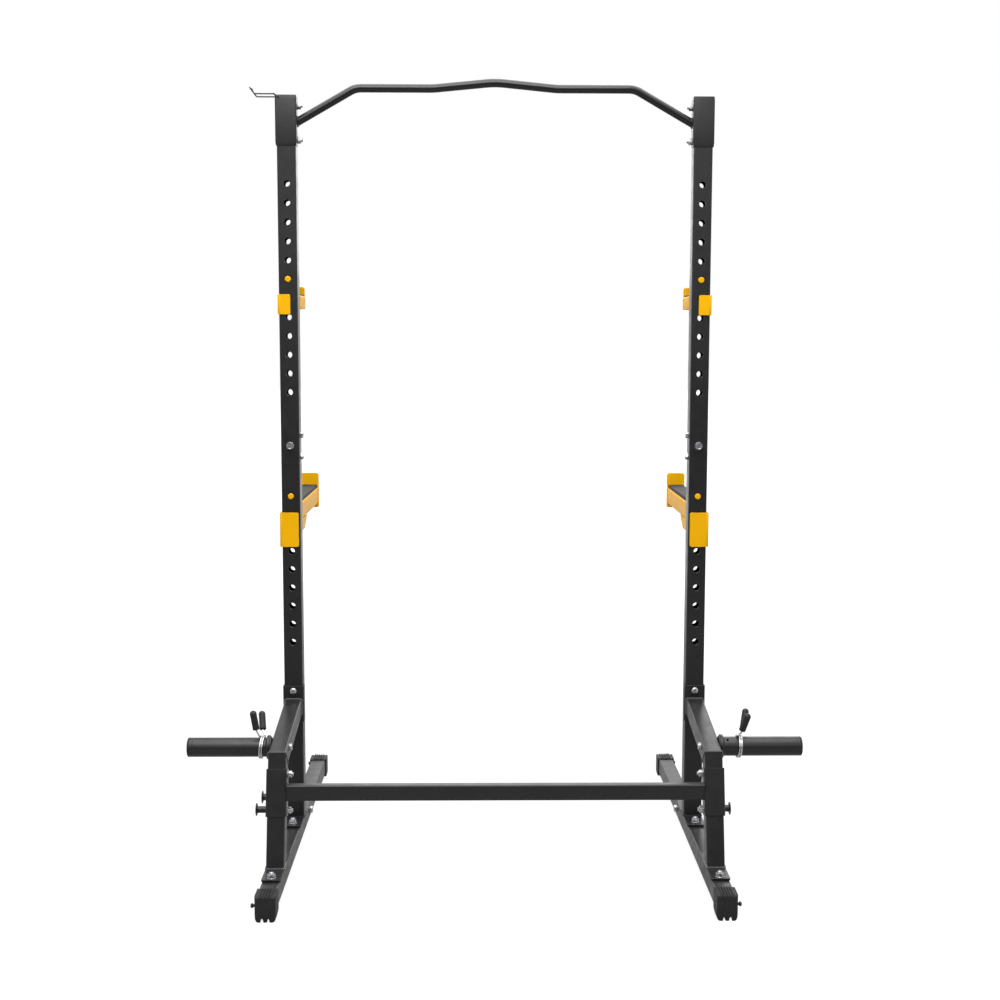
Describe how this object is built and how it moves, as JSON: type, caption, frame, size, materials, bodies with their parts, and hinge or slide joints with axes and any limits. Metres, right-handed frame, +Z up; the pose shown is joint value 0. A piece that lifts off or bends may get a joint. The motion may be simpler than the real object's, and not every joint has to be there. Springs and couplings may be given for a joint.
{
  "type": "power rack",
  "caption": "Two-upright rack on base rails with rear braces, weight pegs, a pull-up bar, bar hooks and spotter arms for barbell lifts.",
  "frame": {"origin": "on the floor, midway between the uprights, in their centre plane", "axes": "+Z up; +Y forward, the way the bar hooks and spotter arms reach; +X to the right as seen from behind, from the weight pegs' side"},
  "size_m": [1.573, 1.2, 2.0625],
  "materials": {
    "black_powder_coat": "satin powder coat",
    "yellow_powder_coat": "satin powder coat",
    "black_plastic": "matt",
    "black_rubber": "matt",
    "grip_rubber": "matt, ribbed",
    "zinc_plated_steel": "zinc plated",
    "spring_wire": "plated wire"
  },
  "bodies": {
    "frame": {"base_rail_left": "black_powder_coat", "base_rail_right": "black_powder_coat", "end_cap_front_left": "black_plastic", "end_cap_front_right": "black_plastic", "end_cap_rear_left": "black_plastic", "end_cap_rear_right": "black_plastic", "band_peg_inner_left": "black_powder_coat", "band_peg_inner_right": "black_powder_coat", "band_peg_outer_left": "black_powder_coat", "band_peg_outer_right": "black_powder_coat", "lower_upright_left": "black_powder_coat", "lower_upright_right": "black_powder_coat", "upper_upright_left": "black_powder_coat", "upper_upright_right": "black_powder_coat", "top_plug_left": "black_plastic", "top_plug_right": "black_plastic", "splice_bolt_rear_left": "zinc_plated_steel", "splice_bolt_rear_right": "zinc_plated_steel", "splice_bolt_lower_left": "zinc_plated_steel", "splice_bolt_lower_right": "zinc_plated_steel", "splice_bolt_upper_left": "zinc_plated_steel", "splice_bolt_upper_right": "zinc_plated_steel", "rear_post_left": "black_powder_coat", "rear_post_right": "black_powder_coat", "rear_brace_left": "black_powder_coat", "rear_brace_right": "black_powder_coat", "brace_bracket_left": "black_powder_coat", "brace_bracket_right": "black_powder_coat", "brace_bolt_left": "zinc_plated_steel", "brace_bolt_right": "zinc_plated_steel", "crossmember_bracket_left": "black_powder_coat", "crossmember_bracket_right": "black_powder_coat", "weight_peg_left": "black_powder_coat", "weight_peg_right": "black_powder_coat", "weight_peg_cap_left": "black_plastic", "weight_peg_cap_right": "black_plastic", "bar_bracket_left": "black_powder_coat", "bar_bracket_right": "black_powder_coat", "crossmember": "black_powder_coat", "pull_up_bar": "black_powder_coat", "wire_hook": "black_powder_coat"},
    "hook_left": {"hook_saddle_left": "yellow_powder_coat", "hook_cradle_left": "yellow_powder_coat", "hook_pad_left": "black_plastic"},
    "hook_right": {"hook_saddle_right": "yellow_powder_coat", "hook_cradle_right": "yellow_powder_coat", "hook_pad_right": "black_plastic"},
    "spotter_arm_left": {"arm_saddle_left": "yellow_powder_coat", "arm_beam_left": "yellow_powder_coat", "arm_strip_left": "black_rubber"},
    "spotter_arm_right": {"arm_saddle_right": "yellow_powder_coat", "arm_beam_right": "yellow_powder_coat", "arm_strip_right": "black_rubber"},
    "collar_left": {"collar_spring_left": "spring_wire"},
    "collar_right": {"collar_spring_right": "spring_wire"},
    "collar_grip_inner_left": {"collar_grip_inner_left": "grip_rubber"},
    "collar_grip_inner_right": {"collar_grip_inner_right": "grip_rubber"},
    "collar_grip_outer_left": {"collar_grip_outer_left": "grip_rubber"},
    "collar_grip_outer_right": {"collar_grip_outer_right": "grip_rubber"}
  },
  "joints": [
    {"name": "hook_swing_left", "type": "hinge", "parent": "frame", "child": "hook_left", "pos_m": [-0.55, 0, 1.537], "axis": [0, 1, 0], "range_deg": [0, 90]},
    {"name": "spotter_arm_swing_left", "type": "hinge", "parent": "frame", "child": "spotter_arm_left", "pos_m": [-0.55, 0, 0.957], "axis": [0, 1, 0], "range_deg": [0, 90]},
    {"name": "collar_slide_left", "type": "slide", "parent": "frame", "child": "collar_left", "axis": [-1, 0, 0], "range_m": [-0.006, 0.165]},
    {"name": "collar_squeeze_left", "type": "hinge", "parent": "collar_left", "child": "collar_grip_inner_left", "pos_m": [0, -0.29, 0.3393], "axis": [1, 0, 0], "range_deg": [0, 14], "stiffness_Nm_per_rad": 3, "springref_deg": -1.15, "deforming": ["collar_spring_left"]},
    {"name": "collar_squeeze_follow_left", "type": "hinge", "parent": "collar_left", "child": "collar_grip_outer_left", "pos_m": [0, -0.29, 0.3393], "axis": [1, 0, 0], "range_deg": [-14, 0], "stiffness_Nm_per_rad": 3, "springref_deg": 1.15, "deforming": ["collar_spring_left"]},
    {"name": "hook_swing_right", "type": "hinge", "parent": "frame", "child": "hook_right", "pos_m": [0.55, 0, 1.537], "axis": [0, -1, 0], "range_deg": [0, 90]},
    {"name": "spotter_arm_swing_right", "type": "hinge", "parent": "frame", "child": "spotter_arm_right", "pos_m": [0.55, 0, 0.957], "axis": [0, -1, 0], "range_deg": [0, 90]},
    {"name": "collar_slide_right", "type": "slide", "parent": "frame", "child": "collar_right", "axis": [1, 0, 0], "range_m": [-0.03, 0.145]},
    {"name": "collar_squeeze_right", "type": "hinge", "parent": "collar_right", "child": "collar_grip_inner_right", "pos_m": [0, -0.29, 0.3393], "axis": [-1, 0, 0], "range_deg": [0, 14], "stiffness_Nm_per_rad": 3, "springref_deg": -1.15, "deforming": ["collar_spring_right"]},
    {"name": "collar_squeeze_follow_right", "type": "hinge", "parent": "collar_right", "child": "collar_grip_outer_right", "pos_m": [0, -0.29, 0.3393], "axis": [-1, 0, 0], "range_deg": [-14, 0], "stiffness_Nm_per_rad": 3, "springref_deg": 1.15, "deforming": ["collar_spring_right"]}
  ],
  "couplings": [
    {"joint": "collar_squeeze_follow_left", "follows": "collar_squeeze_left", "ratio": -1},
    {"joint": "collar_squeeze_follow_right", "follows": "collar_squeeze_right", "ratio": -1}
  ]
}
